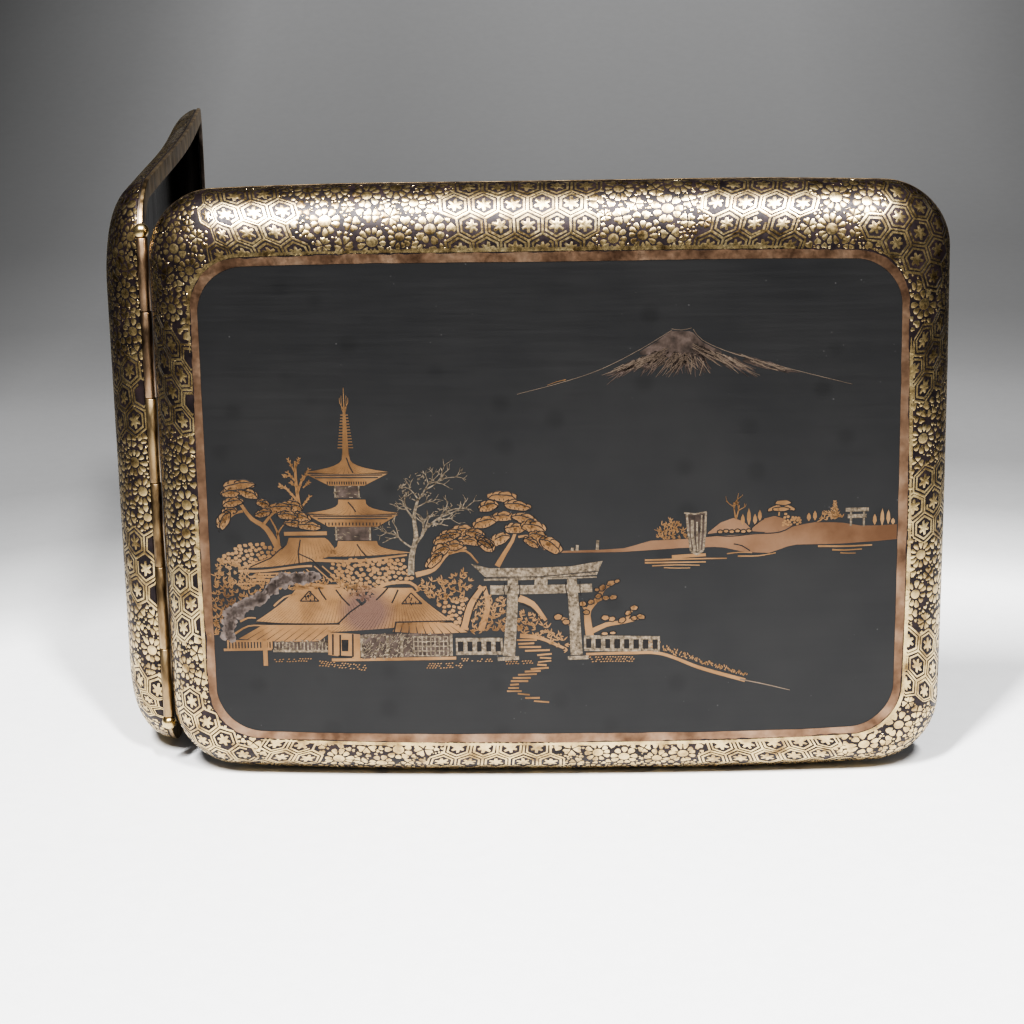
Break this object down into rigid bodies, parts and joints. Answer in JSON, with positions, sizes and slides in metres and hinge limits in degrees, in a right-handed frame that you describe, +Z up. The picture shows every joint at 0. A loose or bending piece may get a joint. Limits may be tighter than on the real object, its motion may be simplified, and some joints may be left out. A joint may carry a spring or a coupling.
{
  "type": "cigarette case",
  "caption": "Curved pocket cigarette case, standing half open on its long edges, with hinged covers of dark iron, gold-inlaid borders and brass-framed mouths.",
  "frame": {"origin": "centre of the standing case's footprint box, on the surface it stands on", "axes": "+Z up, +X along the chord of the front cover from the hinge towards its opening edge, +Y from the front cover's outer face inwards"},
  "size_m": [0.1338, 0.128, 0.091],
  "materials": {
    "dark_iron": "dark patinated iron: a matt outer face with faint scratches and stains, a satin purplish-black border ground",
    "gilt_brass": "worn gilt brass with brown streaks",
    "gold_inlay": "pale gold inlay, lightly rubbed, with dark engraved lines",
    "copper_inlay": "brown-pink copper inlay, satin",
    "silver_inlay": "tarnished silver-grey inlay, satin"
  },
  "bodies": {
    "front_half": {"front_cover": "dark_iron", "front_mouth_frame": "gilt_brass", "hinge_pin": "gilt_brass", "hinge_knuckle_1": "gilt_brass", "hinge_knuckle_3": "gilt_brass", "hinge_knuckle_5": "gilt_brass"},
    "back_half": {"back_cover": "dark_iron", "back_mouth_frame": "gilt_brass", "hinge_knuckle_2": "gilt_brass", "hinge_knuckle_4": "gilt_brass", "hinge_knuckle_6": "gilt_brass"}
  },
  "joints": [
    {"name": "case_hinge", "type": "hinge", "parent": "front_half", "child": "back_half", "pos_m": [-0.0524, -0.05483, 0.0455], "axis": [0, 0, 1], "range_deg": [-94, 86]}
  ]
}
